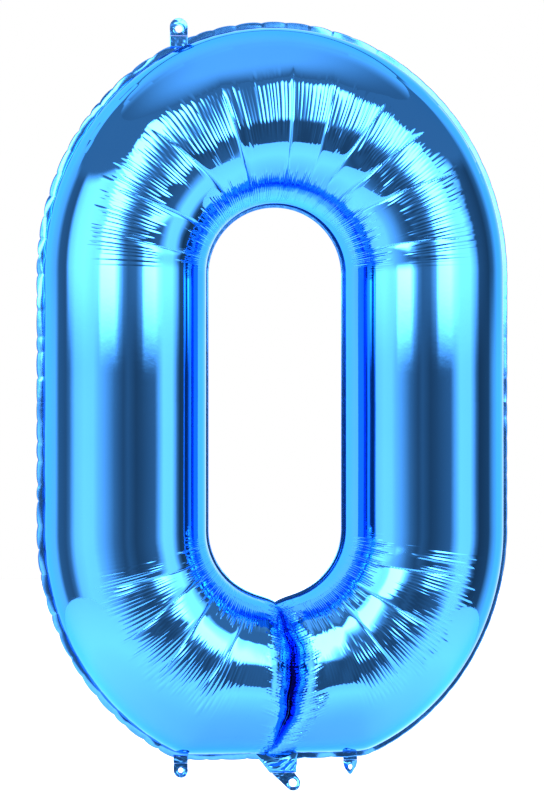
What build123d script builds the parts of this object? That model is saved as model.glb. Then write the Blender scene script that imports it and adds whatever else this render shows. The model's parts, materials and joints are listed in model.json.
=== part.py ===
"""A foil number balloon in the shape of a 0.

Two foil films are welded along a flat margin round the outside and round the hole, and the gas
between them swells the band into a tube. A crease pinches the band below the hole. A short neck
leaves the bottom edge with a two-film valve in it, and tabs with eyelets hang on the seam.

Frame: millimetres, +Z up, the front faces -Y, the seam lies in the plane y = 0. The origin is
the centre of the tail's eyelet, where the ribbon that holds the balloon is tied.
"""
from build123d import *
from math import sqrt
import os

# The number, measured from its own centre: halfway between the ends of its hole
HOLE_RADIUS = 79.0        # round ends of the hole, at the inner weld
HOLE_CENTRES = 286.0      # between the centres of the hole's round ends
BODY_RADIUS = 261.0       # round ends of the body, at the outer weld
TOP_RISE = 17.0           # the body's top end is centred this far above the hole's top end
BOTTOM_DROP = 13.5        # the body's bottom end is centred this far below the hole's
FLATTENING = 22.5         # how far the crease draws up the body's bottom
TUBE_DEPTH = 184.0        # front to back over both films
CREASE_DEPTH = 76.0       # front to back at the crease below the hole
CREASE_SHOULDER_DEPTH = 156.0  # front to back where the crease starts to draw the films in
CREASE_SHOULDER = -75     # degrees round the hole's end where that is
SECTION_STEP = 15         # degrees between the sections of a round end

# Films and welds
FILM = 1.0                # wall of one foil film, a stand-in for about 0.03 mm
VALVE_FILM = 0.5          # one valve film, a stand-in for about 0.05 mm
VALVE_GAP = 0.1           # between the two valve films
OUTER_MARGIN = 7.0        # welded margin outside the body
INNER_MARGIN = 3.5        # welded margin inside the hole
WELD_LIP = 2.0            # how far a margin reaches in under the film's edge
HINGE_GAP = 0.3           # between a folding piece and what carries it
ROOT_ROUND = 0.95         # rounding of a folding root, as a share of its half thickness
LIP_ROOT_ROUND = 0.45     # rounding of a valve lip's root, as a share of the valve film

# Neck, valve and tail
NECK_SHIFT = 9.0          # the neck's mouth, to the right of the number's centre
NECK_TOP_SHIFT = 8.0      # how much further left the neck's root lies than its mouth
NECK_TOP_WIDTH = 50.0
NECK_BOTTOM_WIDTH = 30.0
NECK_LENGTH = 15.0
VALVE_WIDTH = 22.0
LIP_LENGTH = 90.0         # the valve's inner ends
TAIL_ROOT_WIDTH = 26.0
TAIL_LEAN = 11.0          # the tail's eyelet, to the right of the neck's mouth
TAIL_DROP = 11.5          # the tail's eyelet, below the neck's mouth
TAIL_END_RADIUS = 8.5
TAIL_EYELET_RADIUS = 4.4

# Tabs on the seam, sideways from the number's centre
TOP_TAB_X = -109.0
TOP_TAB_STAND = 6.2       # its hinge line, above the margin's edge
TOP_TAB_WIDTH = 20.0
TOP_TAB_LENGTH = 19.0
TOP_TAB_EYELET_RADIUS = 4.3
BOTTOM_LEFT_TAB_X = -107.0
BOTTOM_RIGHT_TAB_X = 86.0
BOTTOM_TAB_STAND = 3.5    # their hinge lines, below the margin's edge
BOTTOM_TAB_WIDTH = 16.0
BOTTOM_TAB_LENGTH = 14.5
BOTTOM_TAB_EYELET_RADIUS = 2.8
TAB_EYELET_DISTANCE = 6.5 # from a tab's hinge line to its eyelet's centre

# Worked out from the sizes above
HOLE_END = HOLE_CENTRES / 2
TOP_CENTRE = HOLE_END + TOP_RISE
BOTTOM_CENTRE = HOLE_END + BOTTOM_DROP
BODY_BOTTOM = BOTTOM_CENTRE + BODY_RADIUS - FLATTENING
SEAM_BOTTOM = -(BODY_BOTTOM + OUTER_MARGIN)
LIP_BOTTOM = -(BODY_BOTTOM - WELD_LIP)
MOUTH = SEAM_BOTTOM - NECK_LENGTH
NUMBER_X = -(NECK_SHIFT + TAIL_LEAN)
NUMBER_Z = TAIL_DROP - MOUTH
TOP_TAB_HINGE = TOP_CENTRE + sqrt((BODY_RADIUS + OUTER_MARGIN) ** 2 - TOP_TAB_X**2) + TOP_TAB_STAND
BOTTOM_TAB_HINGE = SEAM_BOTTOM - BOTTOM_TAB_STAND
OPEN_HALF = VALVE_GAP / 2
NECK_INSIDE = VALVE_FILM + OPEN_HALF

FACE = Plane(origin=(NUMBER_X, 0, NUMBER_Z), x_dir=(1, 0, 0), z_dir=(0, -1, 0))
MIDDLE = Plane(origin=(NUMBER_X, 0, NUMBER_Z), x_dir=(0, 1, 0), z_dir=(1, 0, 0))
TUBE_CUTS = [Plane.XY.offset(NUMBER_Z + height) for height in (HOLE_END, -HOLE_END)]
EYELET = (-NUMBER_X, -NUMBER_Z)
TOP_ANGLES = range(0, 181, SECTION_STEP)
BOTTOM_SECTIONS = [(angle, TUBE_DEPTH) for angle in range(0, CREASE_SHOULDER, -SECTION_STEP)] + [
    (CREASE_SHOULDER, CREASE_SHOULDER_DEPTH),
    (-90, CREASE_DEPTH),
]


def outer_radius(angle):
    """The outer weld's distance from the centre of the hole's nearer end; angles below 0 point down."""
    rise = Vector(1, 0).rotate(Axis.Z, angle).Y
    if angle > 0:
        return BODY_RADIUS + TOP_RISE * rise
    if angle == 0:
        return BODY_RADIUS
    full = BODY_RADIUS - BOTTOM_DROP * rise
    to_flat = (BODY_BOTTOM - HOLE_END) / -rise
    return min(full, to_flat)


def section_plane(angle, end_height):
    """The plane across the tube at an angle round the hole's end: x runs outwards, y to the front."""
    outwards = Vector(1, 0, 0).rotate(Axis.Y, -angle)
    end = Vector(NUMBER_X, 0, NUMBER_Z + end_height)
    middle = (HOLE_RADIUS + outer_radius(angle)) / 2
    return Plane(origin=end + outwards * middle, x_dir=outwards, z_dir=outwards.cross(Vector(0, -1, 0)))


def film_section(angle, depth):
    """Half an ellipse of film, standing on the welded margin."""
    half_width = (outer_radius(angle) - HOLE_RADIUS) / 2
    rise = depth / 2 - FILM
    with BuildSketch(mode=Mode.PRIVATE) as section:
        with BuildLine():
            outside = EllipticalCenterArc((0, FILM), half_width, rise, start_angle=0, arc_size=180)
            inside = EllipticalCenterArc(
                (0, FILM), half_width - FILM, rise - FILM, start_angle=0, arc_size=180
            )
            Line(outside @ 0, inside @ 0)
            Line(outside @ 1, inside @ 1)
        make_face()
    return section.sketch


def body_outline(grow):
    """The body's outline in the seam plane, grown outwards."""
    with BuildSketch(mode=Mode.PRIVATE) as outline:
        with Locations((0, (TOP_CENTRE - BOTTOM_CENTRE) / 2)):
            SlotCenterToCenter(TOP_CENTRE + BOTTOM_CENTRE, 2 * (BODY_RADIUS + grow), rotation=90)
        with Locations((0, -BODY_BOTTOM - grow)):
            Rectangle(2 * BODY_RADIUS, BODY_RADIUS, align=(Align.CENTER, Align.MAX), mode=Mode.SUBTRACT)
    return outline.sketch


def hole_outline(grow):
    """The hole's outline in the seam plane, grown outwards."""
    with BuildSketch(mode=Mode.PRIVATE) as outline:
        SlotCenterToCenter(HOLE_CENTRES, 2 * (HOLE_RADIUS + grow), rotation=90)
    return outline.sketch


def seam_stub(sideways, hinge, width, up):
    """The stub of margin that a tab folds on, cut straight beside the tab's hinge line."""
    with Locations((sideways, hinge - up * (FILM + HINGE_GAP))):
        Rectangle(width, OUTER_MARGIN + WELD_LIP, align=(Align.CENTER, Align.MAX if up > 0 else Align.MIN))


def seam_notch(sideways, hinge, width, up):
    """The space over a stub, where the tab folds."""
    with Locations((sideways, hinge - up * (FILM + HINGE_GAP))):
        room = width + 2 * HINGE_GAP
        Rectangle(room, room, align=(Align.CENTER, Align.MIN if up > 0 else Align.MAX), mode=Mode.SUBTRACT)


def folding_tab(sideways, hinge, width, length, eyelet_radius, up):
    """A tab of two welded films with a round end, an eyelet and a rounded root on its hinge line."""
    with BuildPart() as tab:
        with BuildSketch(FACE) as outline:
            with Locations((sideways, hinge - up * FILM)):
                Rectangle(width, length + FILM, align=(Align.CENTER, Align.MIN if up > 0 else Align.MAX))
            corners = outline.vertices().sort_by(Axis.Y)
            fillet(corners[-2:] if up > 0 else corners[:2], width / 3)
            with Locations((sideways, hinge + up * TAB_EYELET_DISTANCE)):
                Circle(eyelet_radius, mode=Mode.SUBTRACT)
        extrude(amount=FILM, both=True)
        across = tab.edges().filter_by(Axis.X).sort_by(Axis.Z)
        fillet(across[:2] if up > 0 else across[-2:], FILM * ROOT_ROUND)
    return tab


# Front film: top end, straight sides, and a bottom end drawn in to the crease in the middle
with BuildPart() as front_film:
    with BuildSketch(section_plane(0, HOLE_END)):
        add(film_section(0, TUBE_DEPTH))
    extrude(amount=HOLE_CENTRES)
    for angle, depth in BOTTOM_SECTIONS:
        with BuildSketch(section_plane(angle, -HOLE_END)):
            add(film_section(angle, depth))
    loft()
    mirror(about=MIDDLE)
    for angle in TOP_ANGLES:
        with BuildSketch(section_plane(angle, HOLE_END)):
            add(film_section(angle, TUBE_DEPTH))
    loft()
    for cut in TUBE_CUTS:
        split(bisect_by=cut, keep=Keep.BOTH)
front_film.part.label = "front_film"

# Back film: the same outline from the other side
with BuildPart() as back_film:
    mirror(front_film.part, about=Plane.XZ)
    for cut in TUBE_CUTS:
        split(bisect_by=cut, keep=Keep.BOTH)
back_film.part.label = "back_film"

# Outer margin: both films welded flat, with a stub under each tab and a slot for the valve
TOP_LEFT_TAB = (TOP_TAB_X, TOP_TAB_HINGE, TOP_TAB_WIDTH)
BOTTOM_LEFT_TAB = (BOTTOM_LEFT_TAB_X, BOTTOM_TAB_HINGE, BOTTOM_TAB_WIDTH)
BOTTOM_RIGHT_TAB = (BOTTOM_RIGHT_TAB_X, BOTTOM_TAB_HINGE, BOTTOM_TAB_WIDTH)
with BuildPart() as outer_margin:
    with BuildSketch(FACE):
        add(body_outline(OUTER_MARGIN))
        seam_stub(*TOP_LEFT_TAB, 1)
        seam_notch(*TOP_LEFT_TAB, 1)
        for tab in (BOTTOM_LEFT_TAB, BOTTOM_RIGHT_TAB):
            seam_stub(*tab, -1)
            seam_notch(*tab, -1)
        add(body_outline(-WELD_LIP), mode=Mode.SUBTRACT)
    extrude(amount=FILM, both=True)
    with BuildSketch(FACE):
        with Locations((NECK_SHIFT, SEAM_BOTTOM)):
            Rectangle(VALVE_WIDTH, OUTER_MARGIN + WELD_LIP, align=(Align.CENTER, Align.MIN))
    extrude(amount=NECK_INSIDE, both=True, mode=Mode.SUBTRACT)
outer_margin.part.label = "outer_margin"

# Inner margin: the flat weld round the hole
with BuildPart() as inner_margin:
    with BuildSketch(FACE):
        add(hole_outline(WELD_LIP))
        add(hole_outline(-INNER_MARGIN), mode=Mode.SUBTRACT)
    extrude(amount=FILM, both=True)
inner_margin.part.label = "inner_margin"

# Filling neck: a tongue of each film below the bottom weld, with the valve films between them
with BuildPart() as neck_front:
    with BuildSketch(FACE.offset(NECK_INSIDE)):
        root_middle = NECK_SHIFT - NECK_TOP_SHIFT
        with BuildLine():
            Polyline(
                (root_middle - NECK_TOP_WIDTH / 2, SEAM_BOTTOM),
                (root_middle + NECK_TOP_WIDTH / 2, SEAM_BOTTOM),
                (NECK_SHIFT + NECK_BOTTOM_WIDTH / 2, MOUTH),
                (NECK_SHIFT - NECK_BOTTOM_WIDTH / 2, MOUTH),
                close=True,
            )
        make_face()
    extrude(amount=FILM - VALVE_FILM)
neck_front.part.label = "neck_front"

with BuildPart() as neck_back:
    mirror(neck_front.part, about=Plane.XZ)
neck_back.part.label = "neck_back"

# Valve sleeve: two clear films from the neck's mouth to just inside the body
with BuildPart() as valve_sleeve_front:
    with BuildSketch(FACE.offset(OPEN_HALF)):
        with Locations((NECK_SHIFT, MOUTH)):
            Rectangle(VALVE_WIDTH, LIP_BOTTOM - MOUTH, align=(Align.CENTER, Align.MIN))
    extrude(amount=VALVE_FILM)
valve_sleeve_front.part.label = "valve_sleeve_front"

with BuildPart() as valve_sleeve_back:
    mirror(valve_sleeve_front.part, about=Plane.XZ)
valve_sleeve_back.part.label = "valve_sleeve_back"

# Valve lips: the films' inner ends, which the gas presses shut and a filling straw parts
with BuildPart() as valve_lip_front:
    with BuildSketch(FACE.offset(OPEN_HALF)):
        with Locations((NECK_SHIFT, LIP_BOTTOM + HINGE_GAP)):
            Rectangle(VALVE_WIDTH, LIP_LENGTH, align=(Align.CENTER, Align.MIN))
    extrude(amount=VALVE_FILM)
    fillet(valve_lip_front.edges().filter_by(Axis.X).sort_by(Axis.Z)[:2], VALVE_FILM * LIP_ROOT_ROUND)
valve_lip_front.part.label = "valve_lip_front"

with BuildPart() as valve_lip_back:
    mirror(valve_lip_front.part, about=Plane.XZ)
valve_lip_back.part.label = "valve_lip_back"

# Tail: the tab below the neck's mouth, where the ribbon is tied
with BuildPart() as tail_tab:
    with BuildSketch(FACE):
        with BuildSketch(mode=Mode.PRIVATE) as corners:
            with Locations((NECK_SHIFT, MOUTH - HINGE_GAP)):
                Rectangle(TAIL_ROOT_WIDTH, 2 * FILM, align=(Align.CENTER, Align.MAX))
            with Locations(EYELET):
                Circle(TAIL_END_RADIUS)
        make_hull(corners.edges())
        with Locations(EYELET):
            Circle(TAIL_EYELET_RADIUS, mode=Mode.SUBTRACT)
    extrude(amount=FILM, both=True)
    fillet(tail_tab.edges().filter_by(Axis.X).sort_by(Axis.Z)[-2:], FILM * ROOT_ROUND)
tail_tab.part.label = "tail_tab"

# Hanging tabs
hanging_tab_top_left = folding_tab(*TOP_LEFT_TAB, TOP_TAB_LENGTH, TOP_TAB_EYELET_RADIUS, 1)
hanging_tab_top_left.part.label = "hanging_tab_top_left"
hanging_tab_bottom_left = folding_tab(*BOTTOM_LEFT_TAB, BOTTOM_TAB_LENGTH, BOTTOM_TAB_EYELET_RADIUS, -1)
hanging_tab_bottom_left.part.label = "hanging_tab_bottom_left"
hanging_tab_bottom_right = folding_tab(*BOTTOM_RIGHT_TAB, BOTTOM_TAB_LENGTH, BOTTOM_TAB_EYELET_RADIUS, -1)
hanging_tab_bottom_right.part.label = "hanging_tab_bottom_right"

os.makedirs("parts", exist_ok=True)
for piece in (
    front_film,
    back_film,
    outer_margin,
    inner_margin,
    neck_front,
    neck_back,
    valve_sleeve_front,
    valve_sleeve_back,
    valve_lip_front,
    valve_lip_back,
    tail_tab,
    hanging_tab_top_left,
    hanging_tab_bottom_left,
    hanging_tab_bottom_right,
):
    export_step(piece.part, f"parts/{piece.part.label}.step")
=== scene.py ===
"""A foil number balloon, the figure 0: films, welds, tabs and valve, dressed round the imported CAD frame."""

import json
import logging
import math
from dataclasses import dataclass, field
from enum import Enum
from functools import cache, partial

import bmesh
import bpy
import numpy as np
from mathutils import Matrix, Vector
from mathutils.geometry import convex_hull_2d


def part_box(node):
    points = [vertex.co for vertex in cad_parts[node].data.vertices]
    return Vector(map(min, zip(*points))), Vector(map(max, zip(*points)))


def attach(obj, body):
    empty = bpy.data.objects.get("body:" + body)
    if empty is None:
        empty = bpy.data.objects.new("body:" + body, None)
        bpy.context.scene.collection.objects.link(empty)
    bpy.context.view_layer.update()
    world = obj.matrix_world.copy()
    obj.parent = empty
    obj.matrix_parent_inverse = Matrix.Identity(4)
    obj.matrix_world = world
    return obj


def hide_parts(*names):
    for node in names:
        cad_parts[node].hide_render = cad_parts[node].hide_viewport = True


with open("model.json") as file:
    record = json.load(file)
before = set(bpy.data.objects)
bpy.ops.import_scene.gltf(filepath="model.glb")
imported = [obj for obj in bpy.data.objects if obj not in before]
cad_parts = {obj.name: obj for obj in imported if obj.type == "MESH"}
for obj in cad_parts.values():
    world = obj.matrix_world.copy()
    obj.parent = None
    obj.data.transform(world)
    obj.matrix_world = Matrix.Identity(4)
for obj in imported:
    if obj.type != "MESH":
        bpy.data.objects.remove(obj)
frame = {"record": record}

log = logging.getLogger("foil_number_balloon")

MM = 0.001
CAMERA_AZIMUTH = math.radians(-9.0)
Array = np.ndarray
Colour = tuple[float, float, float, float]
WHITE: Colour = (1.0, 1.0, 1.0, 1.0)
SOFT_STEP = {"interpolation_type": "SMOOTHSTEP"}


# ------------------------------------------------------------------ small helpers


def linear(hex_colour: str) -> Colour:
    """Turns an sRGB hex colour to linear light.

    Args:
        hex_colour: The colour as #RRGGBB.

    Returns:
        Red, green, blue and an alpha of 1.
    """
    parts = [int(hex_colour[i : i + 2], 16) / 255 for i in (1, 3, 5)]
    return (*[c / 12.92 if c <= 0.04045 else ((c + 0.055) / 1.055) ** 2.4 for c in parts], 1.0)


def add_node(tree: bpy.types.NodeTree, kind: str, links: dict, **settings: object) -> bpy.types.Node:
    """Adds one shader node, sets it up and links it.

    Args:
        tree: The node tree that the node goes into.
        kind: The node's type name, without the "ShaderNode" that it starts with.
        links: Input name or number to what feeds it: an output socket, a node, whose first output
            is meant, or a fixed value.
        settings: The node's own properties.

    Returns:
        The new node.
    """
    node = tree.nodes.new(f"ShaderNode{kind}")
    for name, value in settings.items():
        setattr(node, name, value)
    for key, source in links.items():
        if isinstance(source, bpy.types.Node):
            source = source.outputs[0]
        if isinstance(source, bpy.types.NodeSocket):
            tree.links.new(source, node.inputs[key])
        else:
            node.inputs[key].default_value = source
    return node


def smooth(x: Array) -> Array:
    """Eases 0..1 to 0..1 with flat ends; values outside are held."""
    x = np.clip(x, 0.0, 1.0)
    return x * x * (3 - 2 * x)


def grid_mesh(columns: int, rows: int) -> tuple[bmesh.types.BMesh, Array, Array]:
    """Makes a flat grid whose points run 0..1 along and 0..1 across.

    Args:
        columns: Faces along.
        rows: Faces across.

    Returns:
        The grid and its points' places along and across.
    """
    shape = bmesh.new()
    bmesh.ops.create_grid(shape, x_segments=columns, y_segments=rows, size=0.5)
    flat = np.array([v.co[:2] for v in shape.verts]) + 0.5
    return shape, flat[:, 0], flat[:, 1]


def to_object(name: str, shape: bmesh.types.BMesh, *places: Array) -> bpy.types.Object:
    """Turns a bmesh to a smooth-shaded object at the origin.

    Args:
        name: The piece's name.
        shape: The bmesh, which is freed.
        places: New X, Y and Z of its points, or nothing where they are already right.

    Returns:
        The object, linked to the scene.
    """
    mesh = bpy.data.meshes.new(name)
    shape.to_mesh(mesh)
    shape.free()
    if places:
        mesh.vertices.foreach_set("co", np.stack(places, axis=-1).astype(np.float32).ravel())
        mesh.update()
    mesh.polygons.foreach_set("use_smooth", [True] * len(mesh.polygons))
    piece = bpy.data.objects.new(name, mesh)
    bpy.context.scene.collection.objects.link(piece)
    return piece


def thicken(piece: bpy.types.Object, thickness: float) -> None:
    """Gives a thin sheet its wall, half to each side.

    Args:
        piece: The sheet.
        thickness: The wall's whole thickness in metres.
    """
    wall = piece.modifiers.new("film_thickness", "SOLIDIFY")
    wall.thickness = thickness
    wall.offset = 0.0


def close_ring(mesh: bpy.types.Mesh) -> None:
    """Joins a ring's first and last columns and turns its faces one way.

    Args:
        mesh: The ring, whose two ends lie on each other.
    """
    ring = bmesh.new()
    ring.from_mesh(mesh)
    bmesh.ops.remove_doubles(ring, verts=ring.verts, dist=1e-6)
    bmesh.ops.recalc_face_normals(ring, faces=ring.faces)
    ring.to_mesh(mesh)
    ring.free()


def crumple(u: Array, v: Array, pitch: float, seed: int) -> Array:
    """A seeded field of soft dents, about -1 to 1, over a sheet's own two directions.

    Args:
        u: Distances one way, in metres.
        v: Distances the other way, in metres.
        pitch: The dents' usual size, in metres.
        seed: Which dents.

    Returns:
        The field's value at each point.
    """
    draw = np.random.default_rng(seed)
    dents = np.zeros_like(u)
    for _ in range(6):
        turn = draw.uniform(0, math.pi)
        size = pitch * draw.uniform(0.6, 1.6)
        shift = draw.uniform(0, 2 * math.pi)
        way = u * math.cos(turn) + v * math.sin(turn)
        dents += np.abs(np.sin(math.pi * way / size + shift)) - 0.6
    return dents / 3


# ------------------------------------------------------------------ finishes


@dataclass(frozen=True)
class Pattern:
    """One pattern on a surface: soft noise, or a sealing bar's ribs, that may be drawn out along Z."""

    pitch_mm: float
    detail: float
    height_mm: float = 0.0
    strength: float = 1.0
    ribs: bool = False
    drawn_out: float = 1.0

    def level(self, add: partial, place: bpy.types.NodeSocket) -> bpy.types.NodeSocket:
        """Draws the pattern.

        Args:
            add: Adds a node to the material.
            place: The point's place on the object.

        Returns:
            The pattern's level, 0 to 1.
        """
        if self.ribs:
            scale = 0.5 / (self.pitch_mm * MM) / math.pi
            links = {"Vector": place, "Scale": scale, "Distortion": 1.5, "Detail": self.detail}
            return add("TexWave", links, bands_direction="DIAGONAL").outputs["Fac"]
        if self.drawn_out > 1:
            place = add("Mapping", {"Vector": place, "Scale": (1.0, 1.0, 1 / self.drawn_out)}).outputs[0]
        scale = 1 / (self.pitch_mm * MM)
        return add("TexNoise", {"Vector": place, "Scale": scale, "Detail": self.detail}).outputs["Fac"]


@dataclass(frozen=True)
class Finish:
    """What every finish has: two close colours in patches, an uneven gloss and a fine relief."""

    name: str
    slot: str
    colours: tuple[str, str]
    roughness: float
    gloss_range: tuple[float, float]
    fixed: tuple[tuple[str, object], ...]
    patches: Pattern
    relief: tuple[Pattern, ...]

    @cache
    def material(self) -> bpy.types.Material:
        """Builds the finish, once.

        Returns:
            The material.
        """
        made = bpy.data.materials.new(self.name)
        made.use_nodes = True
        tree = made.node_tree
        add = partial(add_node, tree)
        shader = tree.nodes["Principled BSDF"]
        for socket, value in self.fixed:
            shader.inputs[socket].default_value = value
        place = add("TexCoord", {}).outputs["Object"]
        patches = self.patches.level(add, place)
        deep, pale = map(linear, self.colours)
        glossy, dull = (self.roughness * share for share in self.gloss_range)
        tint = add("Mix", {"Factor": patches, 6: deep, 7: pale}, data_type="RGBA")
        haze = add("MapRange", {"Value": patches, "To Min": glossy, "To Max": dull})
        under = {}
        for pattern in self.relief:
            height = {"Height": pattern.level(add, place), "Distance": pattern.height_mm * MM}
            bump = add("Bump", {**height, "Strength": pattern.strength, **under})
            under = {"Normal": bump}
        tree.links.new(tint.outputs[2], shader.inputs["Base Color"])
        tree.links.new(haze.outputs[0], shader.inputs["Roughness"])
        tree.links.new(bump.outputs[0], shader.inputs["Normal"])
        return made


BARE_METAL = (("Metallic", 1.0), ("Specular Tint", linear("#AEDBF9")))


@dataclass(frozen=True)
class LacqueredFoil(Finish):
    """Metallised nylon film with a clear blue lacquer: a near mirror that tints all it reflects.

    The bright aluminium under the lacquer leaves deep navy where it reflects a dark room and
    washes out to cyan and white under the lamps. The relief is print and handling's faint orange
    peel, and a fine crinkle.
    """

    name: str = "lacquered_foil"
    slot: str = "blue_foil"
    colours: tuple[str, str] = ("#4192EC", "#4A9AF1")
    roughness: float = 0.042
    gloss_range: tuple[float, float] = (0.8, 1.25)
    fixed: tuple[tuple[str, object], ...] = BARE_METAL
    patches: Pattern = Pattern(1000 / 9, 3.0)
    relief: tuple[Pattern, ...] = (Pattern(7.0, 2.0, 0.012), Pattern(1.6, 3.0, 0.0012))


@dataclass(frozen=True)
class CrumpledFoil(LacqueredFoil):
    """The lacquered film where it has been pulled and creased by hand: sharper, denser crinkles."""

    name: str = "crumpled_foil"
    roughness: float = 0.07
    relief: tuple[Pattern, ...] = (Pattern(4.0, 2.0, 0.03), Pattern(1.6, 3.0, 0.003))


@dataclass(frozen=True)
class WeldedFoil(Finish):
    """The same film where two layers are heat-sealed: duller, darker, buckled and finely ribbed."""

    name: str = "welded_foil"
    slot: str = "welded_foil"
    colours: tuple[str, str] = ("#357FDD", "#4F9AF0")
    roughness: float = 0.13
    gloss_range: tuple[float, float] = (0.7, 1.5)
    fixed: tuple[tuple[str, object], ...] = BARE_METAL
    patches: Pattern = Pattern(4.0, 3.0, 0.012)
    relief: tuple[Pattern, ...] = (patches, Pattern(1.2, 1.0, 0.005, 0.6, ribs=True))


@dataclass(frozen=True)
class ValveFilm(Finish):
    """Blown polyethylene film: clear with a faint milky haze and fine draw lines along it."""

    name: str = "valve_film"
    slot: str = "valve_film"
    colours: tuple[str, str] = ("#EEF3F6", "#D8E2E8")
    roughness: float = 0.22
    gloss_range: tuple[float, float] = (0.7, 1.4)
    fixed: tuple[tuple[str, object], ...] = (("IOR", 1.51), ("Transmission Weight", 0.75))
    patches: Pattern = Pattern(1.5, 2.0, 0.03, 0.4, drawn_out=20)
    relief: tuple[Pattern, ...] = (patches,)


def dress(piece: bpy.types.Object, finish: Finish, body: str, *nodes: str) -> None:
    """Gives a piece its finish, its body and the CAD nodes that it stands for.

    Args:
        piece: The finished piece.
        finish: Its finish.
        body: The CAD body that it moves with.
        nodes: The CAD nodes that it replaces.
    """
    piece.data.materials.append(finish.material())
    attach(piece, body)
    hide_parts(*nodes)
    log.info("%s: %d faces, %s, on %s", piece.name, len(piece.data.polygons), finish.name, body)


# ------------------------------------------------------------------ the number's shape


class Side(Enum):
    """Which film: the sign is the way that it faces along Y."""

    FRONT = -1
    BACK = 1


class End(Enum):
    """Which end of the number: the sign is the way that it points along Z."""

    TOP = 1
    BOTTOM = -1


@dataclass
class NumberShape:
    """The smooth shape of the figure 0 and its place, in metres.

    A place on the ring is a turn: 0 to pi is the angle round an end, measured from the right-hand
    side; below 0 and above pi it is the distance in metres down the straight side. A radius is the
    distance from the centre of the hole's end.
    """

    centre_x: float
    centre_z: float
    hole_radius: float = 79 * MM
    hole_end: float = 143 * MM
    body_radius: float = 261 * MM
    top_rise: float = 17 * MM
    bottom_drop: float = 13.5 * MM
    flat_bottom: float = 252 * MM
    flat_blend: float = 4 * MM
    half_depth: float = 91.6 * MM
    outer_margin: float = 7 * MM
    inner_margin: float = 3.5 * MM
    cusp_drop: float = 6 * MM
    cusp_reach: float = 9 * MM

    @classmethod
    def from_frame(cls) -> "NumberShape":
        """Reads the number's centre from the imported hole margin."""
        low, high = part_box("inner_margin")
        return cls(centre_x=(low[0] + high[0]) / 2, centre_z=(low[2] + high[2]) / 2)

    def angle(self, turn: Array) -> Array:
        """The angle round the end for each place on the ring."""
        return np.clip(turn, 0.0, math.pi)

    def run(self, turn: Array) -> Array:
        """The distance down a straight side for each place on the ring."""
        return np.maximum(-turn, 0.0) + np.maximum(turn - math.pi, 0.0)

    def along_seam(self, turn: Array) -> Array:
        """The distance along the outer weld from the middle of the right-hand side."""
        straight = np.minimum(turn, 0.0) + np.maximum(turn - math.pi, 0.0)
        return self.hole_end + straight + self.body_radius * self.angle(turn)

    def outer_radius(self, turn: Array, end: End) -> Array:
        """The outer weld's radius; the bottom is cut off flat, with a soft corner.

        Args:
            turn: Places on the ring.
            end: The end of the number.

        Returns:
            The weld's radius at each place.
        """
        rise = np.sin(self.angle(turn))
        if end is End.TOP:
            return self.body_radius + self.top_rise * rise**2
        full = self.body_radius + self.bottom_drop * rise**2
        flat = self.flat_bottom / np.maximum(rise, 0.2)
        return 0.5 * (full + flat - np.sqrt((full - flat) ** 2 + self.flat_blend**2))

    def hole_edge(self, turn: Array, end: End) -> Array:
        """The inner weld's radius, with the cusp that the bottom fold pulls in it.

        Args:
            turn: Places on the ring.
            end: The end of the number.

        Returns:
            The weld's radius at each place.
        """
        edge = np.full_like(turn, self.hole_radius)
        if end is End.BOTTOM:
            away = np.abs(self.angle(turn) - math.pi / 2) * self.hole_radius
            edge = edge + self.cusp_drop * np.exp(-away / self.cusp_reach)
        return edge

    def place(self, turn: Array, radius: Array, end: End) -> tuple[Array, Array]:
        """Finds where points lie.

        Args:
            turn: Places on the ring.
            radius: Their radii.
            end: The end of the number.

        Returns:
            X and Z of each point.
        """
        angle = self.angle(turn)
        x = self.centre_x + radius * np.cos(angle)
        z = self.centre_z + end.value * (self.hole_end - self.run(turn) + radius * np.sin(angle))
        return x, z


@dataclass
class LongCrease:
    """One deep radial crease in the film.

    The angles are in degrees round the end from the right-hand side, at the crease's outer and
    inner tips; the lengths are those tips' radii, its depth and its width in millimetres.
    """

    outer_angle: float
    inner_angle: float
    outer_mm: float
    inner_mm: float
    depth_mm: float
    width_mm: float = 1.3


# Each end's long creases, in the order of LongCrease's own values.
LONG_CREASES = {
    End.TOP: (
        (88, 88.5, 226, 92, 1),
        (110, 111, 214, 90, 1.2),
        (134, 127, 216, 92, 1),
        (155, 151, 208, 84, 1),
        (169, 170, 186, 112, 0.68),
        (76, 74, 214, 108, 0.68),
        (59, 64, 222, 100, 0.85),
        (45, 52, 222, 96, 0.85),
        (30, 39, 220, 94, 0.77),
        (11, 15, 200, 104, 0.59),
    ),
    End.BOTTOM: (
        (14, 20, 200, 96, 0.68),
        (33, 36, 208, 92, 0.77),
        (52, 50, 204, 100, 0.77),
        (120, 116, 200, 104, 0.77),
        (132, 138, 206, 90, 1),
        (146, 152, 208, 96, 0.85),
        (163, 160, 200, 100, 0.68),
    ),
}


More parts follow.
